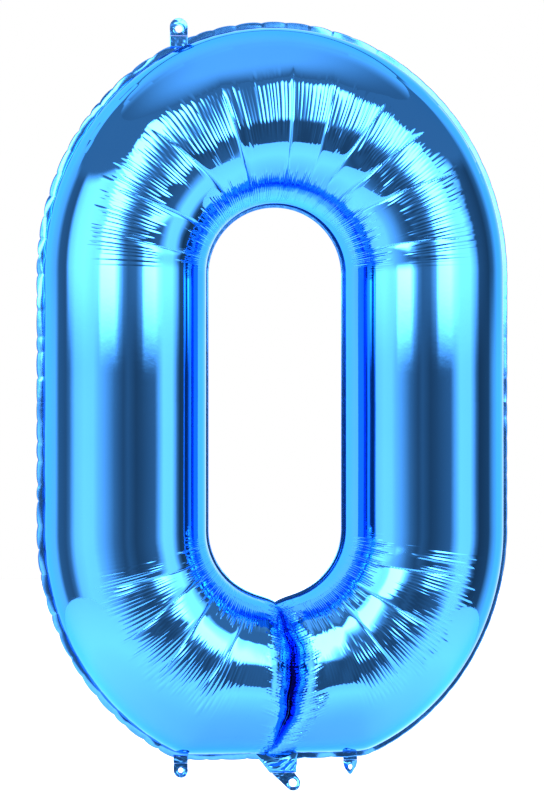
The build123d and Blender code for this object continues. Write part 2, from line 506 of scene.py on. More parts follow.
@dataclass
class Pleats:
    """The comb of small radial pleats that the film gathers into round one end of the number."""

    end: End
    seed: int
    count: int = 137
    group: int = 6
    comb_inner: float = 146 * MM
    comb_outer: float = 213 * MM
    middle_inset: float = 14 * MM
    hole_inner: float = 81 * MM
    hole_outer: float = 108 * MM
    slope: float = 0.25
    hole_slope: float = 4.0
    fade: float = 9 * MM
    end_fade: float = 0.15

    def __post_init__(self) -> None:
        """Draws every pleat's width, steepness and reach, and shifts them in groups."""
        draw = np.random.default_rng(self.seed)
        widths = draw.uniform(0.72, 1.28, self.count)
        self.edges = np.concatenate([[0.0], np.cumsum(widths)]) / widths.sum() * math.pi
        middles = (self.edges[:-1] + self.edges[1:]) / 2
        self.steep = self.slope * draw.uniform(0.35, 1.15, self.count) * self.strength(middles)
        shifts = draw.uniform(-1, 1, self.count // self.group + 1)
        groups = np.repeat(shifts, self.group)[: self.count]
        self.steep = self.steep * (1 + 0.3 * groups)
        self.inner = self.comb_inner + (10 * groups + draw.uniform(-10, 14, self.count)) * MM
        if self.end is End.TOP:
            self.inner = self.inner + self.middle_inset * np.exp(-(((middles - math.pi / 2) / 0.5) ** 2))
        self.outer = self.comb_outer + (5 * groups + draw.uniform(-9, 5, self.count)) * MM
        self.near_hole = draw.uniform(0.2, 1.0, self.count)
        self.hole_reach = self.hole_outer + draw.uniform(-8, 10, self.count) * MM

    def strength(self, angle: Array) -> Array:
        """How strongly the film pleats: less at the crown, and hardly at all by the bottom fold.

        Args:
            angle: Angles round the end.

        Returns:
            The strength at each, 0 to 1.
        """
        degrees = np.degrees(angle)
        if self.end is End.TOP:
            crown = 1 - 0.35 * np.exp(-(((degrees - 90) / 20) ** 2))
            return smooth((degrees - 1) / 12) * smooth((180 - degrees) / 8) * crown
        right = smooth((degrees - 2) / 10) * smooth((72 - degrees) / 14)
        left = smooth((degrees - 104) / 12) * smooth((172 - degrees) / 10)
        return np.maximum(np.maximum(right, left), 0.12)

    def height(self, turn: Array, radius: Array) -> Array:
        """How far the pleats lift the film off its smooth shape.

        Args:
            turn: Places on the ring.
            radius: Their radii.

        Returns:
            The lift in metres.
        """
        angle = np.clip(turn, 1e-9, math.pi - 1e-9)
        which = np.clip(np.searchsorted(self.edges, angle, side="right") - 1, 0, self.count - 1)
        width = self.edges[which + 1] - self.edges[which]
        phase = (angle - self.edges[which]) / width
        comb = smooth((radius - self.inner[which]) / (2 * self.fade) + 0.5) * smooth(
            (self.outer[which] - radius) / (1.6 * self.fade) + 0.5
        )
        near = (
            self.near_hole[which]
            * smooth((radius - self.hole_inner) / (4 * MM))
            * smooth((self.hole_reach[which] - radius) / (12 * MM) + 0.5)
        )
        away_from_sides = smooth(angle / self.end_fade) * smooth((math.pi - angle) / self.end_fade)
        lift = self.steep[which] * comb + self.hole_slope * self.slope * near * away_from_sides
        return lift * width * radius / math.pi * np.abs(np.sin(math.pi * phase))


@dataclass
class Facets:
    """The broad panels between long creases, and the creases themselves."""

    creases: list[LongCrease]
    bulge: float = 0.9 * MM
    bulge_inner: float = 100 * MM
    bulge_outer: float = 232 * MM
    bulge_fade: float = 40 * MM

    def height(self, turn: Array, radius: Array) -> Array:
        """How far the panels and creases lift the film off its smooth shape.

        Args:
            turn: Places on the ring.
            radius: Their radii.

        Returns:
            The lift in metres.
        """
        angle = np.clip(turn, 0.0, math.pi)
        total = np.zeros_like(angle)
        lines = []
        for crease in self.creases:
            share = (radius - crease.inner_mm * MM) / ((crease.outer_mm - crease.inner_mm) * MM)
            line = np.radians(crease.inner_angle + (crease.outer_angle - crease.inner_angle) * share)
            lines.append(line)
            away = np.abs(angle - line) * radius
            inner_fade = smooth((radius - crease.inner_mm * MM) / (14 * MM))
            outer_fade = smooth((crease.outer_mm * MM - radius) / (16 * MM))
            total -= crease.depth_mm * MM * inner_fade * outer_fade * np.exp(-away / (crease.width_mm * MM))
        ordered = np.sort(np.stack([np.zeros_like(angle), *lines, np.full_like(angle, math.pi)]), axis=0)
        bulge = np.zeros_like(angle)
        for first, last in zip(ordered[:-1], ordered[1:]):
            gap = np.maximum(last - first, 1e-6)
            phase = np.clip((angle - first) / gap, 0.0, 1.0)
            bulge = np.maximum(bulge, self.bulge * np.sin(math.pi * phase) * np.minimum(gap / 0.3, 1.2))
        inner_fade = smooth((radius - self.bulge_inner) / self.bulge_fade)
        outer_fade = smooth((self.bulge_outer - radius) / self.bulge_fade)
        window = inner_fade * outer_fade * smooth(angle / 0.3) * smooth((math.pi - angle) / 0.3)
        return total + bulge * window


@dataclass
class RingCrease:
    """A fine crease that runs round an end of the number beside the outer weld.

    The angles are in degrees round the end; the lengths are its radii at its two ends, its depth,
    its width and how far it bows outwards half way, in millimetres.
    """

    start_angle: float
    end_angle: float
    start_mm: float
    end_mm: float
    depth_mm: float
    width_mm: float
    bow_mm: float = 0.0

    def height(self, angle: Array, radius: Array) -> Array:
        """How far the crease lifts the film, which is always inwards.

        Args:
            angle: Angles round the end.
            radius: The points' radii.

        Returns:
            The lift in metres.
        """
        share = (np.degrees(angle) - self.start_angle) / (self.end_angle - self.start_angle)
        inside = np.clip(share, 0.0, 1.0)
        straight = self.start_mm + (self.end_mm - self.start_mm) * inside
        line = straight + self.bow_mm * np.sin(math.pi * inside)
        away = np.abs(radius - line * MM) / (self.width_mm * MM)
        return -self.depth_mm * MM * np.exp(-away) * smooth(share / 0.15) * smooth((1 - share) / 0.15)


TOP_RING_CREASES = (
    RingCrease(34, 150, 252, 254, 0.10, 1.3),
    RingCrease(22, 52, 250, 262, 0.5, 2.0, 4.0),
    RingCrease(126, 150, 262, 254, 0.5, 2.0, 3.0),
)


@dataclass
class SeamScallops:
    """The small buckles that run all along the outer weld, weaker on the right-hand side."""

    seed: int
    length: float
    pitch: float = 23 * MM
    pull: float = 0.9 * MM
    puff: float = 0.8 * MM
    reach: float = 20 * MM

    def __post_init__(self) -> None:
        """Draws every buckle's length and strength."""
        draw = np.random.default_rng(self.seed)
        count = round(self.length / self.pitch)
        widths = draw.uniform(0.7, 1.3, count)
        self.edges = np.concatenate([[0.0], np.cumsum(widths)]) / widths.sum() * self.length
        middles = (self.edges[:-1] + self.edges[1:]) / 2 / self.length
        self.strong = draw.uniform(0.35, 1.0, count) * (0.25 + 0.75 * smooth((middles - 0.35) / 0.2))
        self.strong[[0, -1]] = 0.3

    def arch(self, along: Array) -> tuple[Array, Array]:
        """Finds the buckle that each place is on.

        Args:
            along: Distances along the weld.

        Returns:
            Each place's height on its buckle, 0 to 1, and that buckle's strength.
        """
        along = np.clip(along, 1e-9, self.length - 1e-9)
        which = np.clip(np.searchsorted(self.edges, along, side="right") - 1, 0, len(self.strong) - 1)
        phase = (along - self.edges[which]) / (self.edges[which + 1] - self.edges[which])
        return np.abs(np.sin(math.pi * phase)), self.strong[which]

    def edge_pull(self, along: Array) -> Array:
        """How far the weld is drawn in towards the body."""
        arch, strong = self.arch(along)
        return self.pull * strong * (1 - arch)

    def height(self, along: Array, from_edge: Array) -> Array:
        """How far the film puffs out beside the weld.

        Args:
            along: Distances along the weld.
            from_edge: Distances from it over the film.

        Returns:
            The lift in metres.
        """
        arch, strong = self.arch(along)
        near = from_edge / self.reach
        return self.puff * strong * (arch - 0.5) * np.where(near < 1, 4 * near * (1 - near) ** 2, 0.0)


@dataclass
class BottomFold:
    """The deep fold at the bottom, where the tube is drawn in to the neck.

    Its line's four numbers are how far sideways the line lies at the hole, at two control points
    and at the outer weld.
    """

    left_width: float = 28 * MM
    right_width: float = 25 * MM
    flank_sink: float = 0.30
    core_width: float = 5.0 * MM
    core_sink: float = 0.08
    shoulder: float = 0.13
    shoulder_turn: float = math.radians(30)
    line: tuple[float, float, float, float] = (0.0, 19 * MM, 13 * MM, -9.5 * MM)
    sway_turn: float = 0.42
    flank_curve: float = 2.1
    core_curve: float = 1.2
    waver: float = 1.6 * MM
    waver_turn: float = 0.09
    girth: float = 92 * MM
    tuck_pitch: float = 3.6 * MM
    tuck_height: float = 1.15 * MM
    tuck_reach: float = 21 * MM
    row_start: float = 34 * MM
    row_end: float = 13 * MM
    row_width: float = 7 * MM
    dent_height: float = 0.8 * MM
    dent_pitch: float = 9 * MM

    def sway(self, turn: Array, share: Array) -> Array:
        """How far the fold's line wanders sideways.

        Args:
            turn: Places on the ring.
            share: Shares of the way from the hole to the outer weld.

        Returns:
            The shift along X in metres.
        """
        a, b, c, d = self.line
        rest = 1 - share
        line = rest**3 * a + 3 * rest**2 * share * b + 3 * rest * share**2 * c + share**3 * d
        waver = self.waver * np.sin(23 * share + 1.0) * np.sin(7 * share)
        off = turn - math.pi / 2
        near_line = np.exp(-((off / self.sway_turn) ** 2))
        return line * near_line + waver * np.exp(-((off / self.waver_turn) ** 2))

    def depth(self, turn: Array, radius: Array, across: Array) -> Array:
        """The tube's depth as a share of its full depth: wide flanks and a narrow core.

        Args:
            turn: Places on the ring.
            radius: Their radii.
            across: Their angles across the tube.

        Returns:
            The share at each point.
        """
        off = turn - math.pi / 2
        broad = 1 - self.shoulder * (1 - smooth(np.abs(off) / self.shoulder_turn))
        lens = np.sqrt(np.clip(np.sin(across), 0.0, 1.0)) * 0.85 + 0.15
        width = np.where(off < 0, self.right_width, self.left_width) * lens
        away = np.abs(off) * radius
        flank = np.clip(1 - away / width, 0.0, 1.0) ** self.flank_curve
        core = np.clip(1 - away / (self.core_width * lens), 0.0, 1.0) ** self.core_curve
        return broad * (1 - self.flank_sink * flank - self.core_sink * core)

    def height(self, turn: Array, radius: Array, across: Array) -> Array:
        """How far the small tucks across the fold, the row beside it and its dents lift the film.

        Args:
            turn: Places on the ring.
            radius: Their radii.
            across: Their angles across the tube.

        Returns:
            The lift in metres.
        """
        off = turn - math.pi / 2
        away = np.abs(off) * radius
        along = across * self.girth
        place = (along + 1.4 * MM * np.sin(along / (8 * MM)) + 0.35 * away) / self.tuck_pitch
        arch = np.abs(np.sin(math.pi * place))
        # A sine this large scatters the tucks' strengths as evenly as a seeded draw.
        scatter = np.sin(np.floor(place) * 12.9898 + np.sign(off) * 4.1) * 43758.5453
        strong = 0.15 + 0.85 * (scatter - np.floor(scatter))
        reach = self.tuck_reach * (0.55 + 0.75 * strong) * np.sin(across) ** 0.5
        fade = np.exp(-((away / np.maximum(reach, MM)) ** 4)) * smooth(away / (1.5 * MM))
        down = smooth((across / math.pi - 0.50) / 0.35)
        row_away = self.row_start + (self.row_end - self.row_start) * down
        in_row = np.exp(-(((away - row_away) / self.row_width) ** 2)) * smooth((down - 0.02) / 0.1)
        in_row = np.where(off < 0, in_row, 0.0) * (1 - smooth((down - 0.9) / 0.1))
        dents = crumple(along, off * radius, self.dent_pitch, 41) * np.exp(-((away / self.tuck_reach) ** 2))
        tucks = self.tuck_height * strong * arch * (0.7 * fade + 1.3 * in_row)
        return tucks + self.dent_height * dents * smooth(away / (2 * MM))


@dataclass
class Envelope:
    """Both films of the number, each in pieces small enough to keep every pleat."""

    shape: NumberShape
    rows: int = 84
    arc_columns: int = 1000
    side_columns: int = 44
    fold_rows: int = 252
    fold_columns: int = 120
    fold_half_turn: float = math.radians(13)
    fold_crowding: float = 1.7
    weld_pull_turn: float = 0.16
    ring_fade: float = 30 * MM
    fold_calm: float = 8 * MM
    fold_calm_fade: float = 60 * MM
    edge_taper: float = 0.12
    wave: float = 0.05 * MM
    fine_wave: float = 0.006 * MM
    fold: BottomFold = field(default_factory=BottomFold)

    def __post_init__(self) -> None:
        """Draws the wrinkles of both films."""
        films = [(side, end) for side in Side for end in End]
        self.pleats = {film: Pleats(film[1], seed) for seed, film in enumerate(films, start=11)}
        self.facets = {end: Facets([LongCrease(*row) for row in LONG_CREASES[end]]) for end in End}
        length = 2 * self.shape.hole_end + self.shape.body_radius * math.pi
        self.scallops = {end: SeamScallops(seed, length) for seed, end in enumerate(End, start=31)}

    def weld(self, turn: Array, end: End) -> Array:
        """The outer weld's radius, scallops included."""
        pull = self.scallops[end].edge_pull(self.shape.along_seam(turn))
        return self.shape.outer_radius(turn, end) - pull

    def surface(self, turn: Array, across: Array, side: Side, end: End) -> Array:
        """Places of points on a film.

        Args:
            turn: Places on the ring.
            across: Angles across the tube, 0 at the hole's weld and pi at the outer weld.
            side: The film.
            end: The end of the number.

        Returns:
            One row of X, Y and Z for each point.
        """
        shape = self.shape
        inner = shape.hole_edge(turn, end)
        outer = shape.outer_radius(turn, end)
        share = (1 - np.cos(across)) / 2
        at_weld = smooth(1 - (math.pi - across) / self.weld_pull_turn)
        radius = inner + (outer - inner) * share - (outer - self.weld(turn, end)) * at_weld
        depth = shape.half_depth * np.sin(across)
        seam = shape.along_seam(turn)
        on_ring = smooth((self.ring_fade - shape.run(turn)) / self.ring_fade)
        lift = self.pleats[side, end].height(turn, radius) * on_ring
        lift = lift + self.facets[end].height(turn, radius) * on_ring
        lift = lift + self.scallops[end].height(seam, (math.pi - across) * shape.half_depth)
        lift = lift + self.waves(seam, across, side, end)
        sway = np.zeros_like(turn)
        if end is End.TOP:
            for crease in TOP_RING_CREASES:
                lift = lift + crease.height(shape.angle(turn), radius) * on_ring
        else:
            from_fold = np.abs(turn - math.pi / 2) * radius
            lift = lift * smooth((from_fold - self.fold_calm) / self.fold_calm_fade)
            depth = depth * self.fold.depth(turn, radius, across)
            lift = lift + self.fold.height(turn, radius, across)
            sway = self.fold.sway(turn, share)
        # The lift goes along the smooth tube's own normal and dies away at the welds.
        outwards = -np.cos(across) / ((outer - inner) / 2)
        forwards = np.sin(across) / shape.half_depth
        size = np.sqrt(outwards**2 + forwards**2)
        lift = lift * smooth(np.sin(across) / self.edge_taper)
        x, z = shape.place(turn, radius + lift * outwards / size, end)
        return np.stack([x + sway, side.value * (depth + lift * forwards / size), z], axis=-1)

    def waves(self, seam: Array, across: Array, side: Side, end: End) -> Array:
        """The faint long waves that keep the straight tubes from looking machined.

        Args:
            seam: Distances along the outer weld.
            across: Angles across the tube.
            side: The film.
            end: The end of the number.

        Returns:
            The lift in metres.
        """
        shift = 1.7 * side.value + 0.9 * end.value
        wave = np.sin(seam / 0.047 + 3 * across + shift) * np.sin(across * 2.3 + seam / 0.11)
        finer = np.sin(seam / 0.019 + 5 * across - shift) * np.sin(across * 4.1 - seam / 0.037)
        return self.wave * wave + self.fine_wave * finer

    def film(self, name: str, side: Side, end: End, turns: Array, rows: int) -> bpy.types.Object:
        """Makes one piece of film over a run of the ring.

        Args:
            name: The piece's name.
            side: The film.
            end: The end of the number.
            turns: The places of its columns on the ring.
            rows: Faces across the tube.

        Returns:
            The piece, with the surface's true normals.
        """
        shape, along, across = grid_mesh(len(turns) - 1, rows)
        turn = turns[np.rint(along * (len(turns) - 1)).astype(int)]
        across = across * math.pi
        turn_step = 3e-5
        across_step = 1e-4
        inside = np.clip(across, across_step, math.pi - across_step)
        ahead, behind, outer, inner = (
            self.surface(turn + step, inside + side_step, side, end)
            for step, side_step in ((turn_step, 0), (-turn_step, 0), (0, across_step), (0, -across_step))
        )
        normals = np.cross(ahead - behind, outer - inner)
        normals /= np.linalg.norm(normals, axis=1, keepdims=True)
        middle = np.abs(across - math.pi / 2) < 0.3
        if np.mean(normals[middle, 1] * side.value) < 0:
            normals = -normals
        piece = to_object(name, shape, *self.surface(turn, across, side, end).T)
        mesh = piece.data
        if mesh.polygons[len(mesh.polygons) // 2].normal.y * side.value < 0:
            mesh.flip_normals()
        mesh.normals_split_custom_set_from_vertices(normals.tolist())
        return piece

    def build(self) -> None:
        """Makes and dresses both films."""
        side_runs = np.linspace(0, 1, self.side_columns + 1)
        right = -self.shape.hole_end * (1 - side_runs[:-1])
        left = math.pi + self.shape.hole_end * side_runs[1:]
        around = np.linspace(0, math.pi, self.arc_columns + 1)
        to_fold = np.linspace(0, math.pi / 2 - self.fold_half_turn, self.arc_columns // 2)
        from_fold = np.linspace(math.pi / 2 + self.fold_half_turn, math.pi, self.arc_columns // 2)
        spread = np.linspace(-1, 1, self.fold_columns + 1)
        crowded = np.sign(spread) * np.abs(spread) ** self.fold_crowding
        pieces = (
            ("top", End.TOP, np.concatenate([right, around, left]), self.rows),
            ("bottom_right", End.BOTTOM, np.concatenate([right, to_fold]), self.rows),
            ("bottom_left", End.BOTTOM, np.concatenate([from_fold, left]), self.rows),
            ("fold", End.BOTTOM, math.pi / 2 + self.fold_half_turn * crowded, self.fold_rows),
        )
        for side in Side:
            node = f"{side.name.lower()}_film"
            for word, end, turns, rows in pieces:
                piece = self.film(f"{node}_{word}", side, end, turns, rows)
                dress(piece, LacqueredFoil(), "envelope", node)


@dataclass
class Margins:
    """The flat heat-sealed borders outside the body and inside the hole."""

    envelope: Envelope
    foil: float = 0.25 * MM
    columns: int = 560
    side_columns: int = 70
    outer_rows: int = 6
    inner_rows: int = 4
    end_face: float = 0.05 * MM
    overlap: float = 0.6 * MM
    wave: float = 1.6 * MM
    notch: float = 1.3 * MM
    curl: float = 2.4 * MM
    inner_wave: float = 0.04 * MM

    def ring_turns(self) -> Array:
        """Spaces out one half's columns, with a very short one where it meets the other half.

        Returns:
            The columns' places on the ring.
        """
        reach = self.envelope.shape.hole_end
        rest = np.linspace(self.end_face, reach, self.side_columns)
        run = np.concatenate([[0.0], rest])
        around = np.linspace(0, math.pi, self.columns)
        return np.concatenate([(run - reach)[:-1], around, (math.pi + reach - run)[::-1][1:]])

    def outer(self, turn: Array, across: Array, end: End) -> tuple[Array, Array]:
        """Shapes the border outside the body, which flutters and curls back on the left.

        Args:
            turn: Places on the ring.
            across: Shares of the way over the border.
            end: The end of the number.

        Returns:
            The points' radii and their Y.
        """
        body = self.envelope.shape
        seam = body.along_seam(turn)
        arch, strong = self.envelope.scallops[end].arch(seam)
        width = body.outer_margin + self.overlap - self.notch * strong * (1 - arch) ** 2
        flutter = self.wave * strong * np.sin(seam / (11 * MM) + 2.1 * np.sin(seam / (37 * MM)))
        curl = self.curl * (0.75 + 0.25 * arch * strong) * smooth(-np.cos(body.angle(turn)) + 0.3)
        radius = self.envelope.weld(turn, end) - self.overlap + width * across
        return radius, flutter * across**1.5 + curl * across**2

    def inner(self, turn: Array, across: Array, end: End) -> tuple[Array, Array]:
        """Shapes the border inside the hole.

        Args:
            turn: Places on the ring.
            across: Shares of the way over the border.
            end: The end of the number.

        Returns:
            The points' radii and their Y.
        """
        body = self.envelope.shape
        seam = body.along_seam(turn)
        radius = body.hole_edge(turn, end) + self.overlap - (body.inner_margin + self.overlap) * across
        flutter = self.inner_wave * np.sin(seam / (6 * MM) + 1.3 * np.sin(seam / (21 * MM)))
        return radius, across**2 * flutter

    def build(self) -> None:
        """Makes and dresses both margins."""
        turns = self.ring_turns()
        kinds = (
            ("outer_margin", self.outer, self.outer_rows, 1.0),
            ("inner_margin", self.inner, self.inner_rows, 0.0),
        )
        for end in End:
            for node, border, rows, share in kinds:
                name = f"{node}_{end.name.lower()}"
                shape, along, across = grid_mesh(len(turns) - 1, rows)
                turn = turns[np.rint(along * (len(turns) - 1)).astype(int)]
                radius, y = border(turn, across, end)
                x, z = self.envelope.shape.place(turn, radius, end)
                if end is End.BOTTOM:
                    x = x + self.envelope.fold.sway(turn, np.full_like(turn, share))
                piece = to_object(name, shape, x, y, z)
                thicken(piece, self.foil)
                dress(piece, WeldedFoil(), "envelope", node)


# ------------------------------------------------------------------ tabs, neck and valve


@dataclass
class EyeletTab:
    """A welded foil tab with a round head, a punched eyelet and its root on a hinge line.

    The root is a line at root_z from root_left to root_right; the head is a circle. Lengths are in
    metres and angles in degrees; twist turns the head about the tab's length and lean tips it back.
    """

    name: str
    node: str
    body: str
    mount: str
    root_left: float
    root_right: float
    root_z: float
    head_z: float
    head_radius: float
    twist: float
    lean: float
    dents: float
    seed: int
    foil: float = 0.3 * MM
    columns: int = 160
    rows: int = 14
    dent_pitch: float = 6 * MM
    bead: float = 0.22 * MM
    bead_radius: float = 1.3 * MM
    bead_width: float = 0.7 * MM

    def outline(self, eyelet: tuple[float, float]) -> Array:
        """Draws the tab's outline: the head's circle and the root, wrapped round.

        Args:
            eyelet: X and Z of the eyelet's centre.

        Returns:
            The outline's corners, as X and Z from the eyelet's centre.
        """
        circle = bmesh.new()
        bmesh.ops.create_circle(circle, segments=96, radius=self.head_radius)
        points = [Vector((v.co.x + eyelet[0], v.co.y + self.head_z)) for v in circle.verts]
        circle.free()
        points += [Vector((self.root_left, self.root_z)), Vector((self.root_right, self.root_z))]
        order = convex_hull_2d(points)
        return np.array([points[i] for i in order]) - np.array(eyelet)

    @staticmethod
    def reach(outline: Array, angles: Array) -> Array:
        """Finds how far the outline lies from the eyelet's centre.

        Args:
            outline: The outline's corners, from the eyelet's centre.
            angles: The directions looked in.

        Returns:
            The distance in each direction.
        """
        way = np.stack([np.cos(angles), np.sin(angles)], axis=-1)[:, None]
        start = outline[None]
        edge = np.roll(outline, -1, axis=0)[None] - start
        cross = way[..., 0] * edge[..., 1] - way[..., 1] * edge[..., 0]
        cross = np.where(np.abs(cross) < 1e-12, 1e-12, cross)
        along = (start[..., 0] * edge[..., 1] - start[..., 1] * edge[..., 0]) / cross
        share = (start[..., 0] * way[..., 1] - start[..., 1] * way[..., 0]) / cross
        hit = (along > 0) & (share >= -1e-9) & (share <= 1 + 1e-9)
        return np.where(hit, along, np.inf).min(axis=1)

    def build(self) -> None:
        """Makes and dresses the tab."""
        mount = next(m for m in frame["record"]["mounts"] if m["name"] == self.mount)
        eyelet = (mount["pos_m"][0], mount["pos_m"][2])
        hole = mount["dims"]["r_mm"] * MM
        shape, around, out = grid_mesh(self.columns, self.rows)
        angles = around * 2 * math.pi
        distance = hole + (self.reach(self.outline(eyelet), angles) - hole) * out
        x = eyelet[0] + distance * np.cos(angles)
        z = eyelet[1] + distance * np.sin(angles)
        length = np.abs(z - self.root_z)
        rise = smooth(length / (np.abs(self.head_z - self.root_z) + self.head_radius))
        root_middle = (self.root_left + self.root_right) / 2
        down = np.clip(length / np.abs(eyelet[1] - self.root_z), 0, 1)
        middle = root_middle + (eyelet[0] - root_middle) * down
        turn = math.radians(self.twist) * rise
        sideways = x - middle
        dents = self.dents * crumple(x, z, self.dent_pitch, self.seed)
        bead = self.bead * np.exp(-(((distance - hole - self.bead_radius) / self.bead_width) ** 2))
        y = math.sin(math.radians(self.lean)) * length * rise - dents * smooth(length / (3 * MM)) - bead
        piece = to_object(self.name, shape, middle + sideways * np.cos(turn), y + sideways * np.sin(turn), z)
        close_ring(piece.data)
        thicken(piece, self.foil)
        dress(piece, WeldedFoil(), self.body, self.node)


@dataclass
class TabRoot:
    """The stub of margin that a tab folds on, from inside the margin to the hinge line."""

    name: str
    left: float
    right: float
    hinge_z: float
    buried: float
    foil: float = 0.45 * MM
    dents: float = 0.25 * MM

    def build(self) -> None:
        """Makes and dresses the stub."""
        shape, across, along = grid_mesh(24, 16)
        x = self.left + (self.right - self.left) * across
        z = self.hinge_z + (self.buried - self.hinge_z) * along
        y = self.dents * crumple(x, z, 7 * MM, 5) * smooth(along * 3)
        piece = to_object(self.name, shape, x, y, z)
        thicken(piece, self.foil)
        dress(piece, WeldedFoil(), "envelope", "outer_margin")


@dataclass
class Neck:
    """The filling neck: a flattened funnel of film, creased aslant where it was pulled shut."""

    name: str = "filling_neck"
    root_lift: float = 7.5 * MM
    puff: float = 6.0 * MM
    edge_gap: float = 1.1 * MM
    crease_slant: float = math.radians(32)
    crease_pitch: float = 6.5 * MM
    crease_height: float = 1.5 * MM
    dents: float = 0.35 * MM
    root_width: float = 50 * MM
    mouth_width: float = 30 * MM
    lean: float = 8 * MM
    columns: int = 220
    rows: int = 60

    def build(self) -> None:
        """Makes and dresses the neck."""
        low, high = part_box("neck_front")
        mouth_middle = high[0] - self.root_width / 2 + self.lean
        shape, around, down = grid_mesh(self.columns, self.rows)
        angle = around * 2 * math.pi
        top = high[2] + self.root_lift
        z = top + (low[2] - top) * down
        middle = mouth_middle - self.lean * (1 - down)
        half = (self.root_width + (self.mouth_width - self.root_width) * down) / 2
        x = middle + half * np.cos(angle)
        thick = self.edge_gap + self.puff * down * (1 - 0.85 * smooth((down - 0.86) / 0.14))
        aslant = (x - middle) * math.sin(self.crease_slant) - (z - low[2]) * math.cos(self.crease_slant)
        aslant = aslant + 2.2 * MM * np.sin(x / (7 * MM)) + 1.5 * MM * crumple(x, z, 16 * MM, 4)
        folded = smooth((down - 0.30) / 0.25)
        arch = np.abs(np.sin(math.pi * aslant / self.crease_pitch)) - 0.5
        creases = (self.crease_height * arch + self.dents * crumple(x, z, 11 * MM, 8)) * folded
        piece = to_object(self.name, shape, x, -thick * np.sin(angle) - creases, z)
        close_ring(piece.data)
        dress(piece, CrumpledFoil(), "envelope", "neck_front", "neck_back")


@dataclass
class Valve:
    """The flat check valve: two clear sleeves hidden in the neck's weld and two lips in the gas."""

    foil: float = 0.12 * MM
    dents: float = 0.08 * MM
    weld_half: float = 0.05 * MM
    weld_dents: float = 0.01 * MM

    def sheet(self, node: str, body: str) -> None:
        """Makes and dresses one film of the valve in the space of its CAD node.

        Args:
            node: The CAD node that it stands for.
            body: Its body.
        """
        low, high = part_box(node)
        shape, across, along = grid_mesh(26, 60)
        x = low[0] + (high[0] - low[0]) * across
        z = low[2] + (high[2] - low[2]) * along
        side = 1.0 if low[1] > 0 else -1.0
        middle, dents, foil = (low[1] + high[1]) / 2, self.dents, self.foil
        if body == "envelope":
            middle, dents, foil = side * self.weld_half, self.weld_dents, self.weld_half
        y = middle + side * dents * crumple(x, z, 14 * MM, 3)
        piece = to_object(f"{node}_sheet", shape, x, y, z)
        thicken(piece, foil)
        dress(piece, ValveFilm(), body, node)

    def build(self) -> None:
        """Makes and dresses the sleeves and the lips."""
        for side in Side:
            word = side.name.lower()
            self.sheet(f"valve_sleeve_{word}", "envelope")
            self.sheet(f"valve_lip_{word}", f"lip_{word}")


@dataclass
class SmallParts:
    """Every tab, the neck and the valve, placed from the frame's own boxes."""

    tail_root: float = 26 * MM
    hinge_gap: float = 0.3 * MM
    top_root_depth: float = 13 * MM
    bottom_root_depth: float = 9 * MM

    def tabs(self) -> list[EyeletTab]:
        """Lays out the tail and the three hanging tabs.

        Returns:
            The tabs, ready to build.
        """
        low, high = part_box("tail_tab")
        tail = EyeletTab(
            "tail", "tail_tab", "tail", "tail_eyelet",
            root_left=low[0], root_right=low[0] + self.tail_root, root_z=high[2], head_z=0.0,
            head_radius=8.5 * MM, twist=-9, lean=-13, dents=0.2 * MM, seed=21,
        )
        low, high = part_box("hanging_tab_top_left")
        made = [
            tail,
            EyeletTab(
                "hanging_tab_top", "hanging_tab_top_left", "tab_top_left", "top_left_eyelet",
                root_left=low[0], root_right=high[0], root_z=low[2], head_z=high[2] - 10 * MM,
                head_radius=10 * MM, twist=-21, lean=9, dents=0.3 * MM, seed=22,
            ),
        ]
        for word, twist, lean in (("left", -7, -14), ("right", 56, -8)):
            node = f"hanging_tab_bottom_{word}"
            low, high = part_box(node)
            tab = EyeletTab(
                f"{node}_foil", node, f"tab_bottom_{word}", f"bottom_{word}_eyelet",
                root_left=low[0], root_right=high[0], root_z=high[2], head_z=low[2] + 8 * MM,
                head_radius=8 * MM, twist=twist, lean=lean, dents=0.3 * MM, seed=23,
            )
            made.append(tab)
        return made

    def roots(self) -> list[TabRoot]:
        """Lays out the stubs that the hanging tabs fold on.

        Returns:
            The stubs, ready to build.
        """
        low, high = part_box("hanging_tab_top_left")
        hinge_z = low[2] - self.hinge_gap
        made = [TabRoot("tab_root_top", low[0], high[0], hinge_z, low[2] - self.top_root_depth)]
        for word in ("left", "right"):
            low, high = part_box(f"hanging_tab_bottom_{word}")
            hinge_z = high[2] + self.hinge_gap
            buried = high[2] + self.bottom_root_depth
            made.append(TabRoot(f"tab_root_bottom_{word}", low[0], high[0], hinge_z, buried))
        return made

    def build(self) -> None:
        """Makes and dresses them all."""
        for part in (*self.tabs(), *self.roots(), Neck(), Valve()):
            part.build()


# ------------------------------------------------------------------ stage and camera


@dataclass(frozen=True)
class WallTone:
    """The room's light at one bearing from the camera side.

    The bearing is in degrees, right-hand side positive. The levels are those above and below the
    lamps' lower edge, and the top is the height in metres at which the wall gives way to the ceiling.
    """

    bearing: float
    high: float
    low: float
    top: float = 1.5


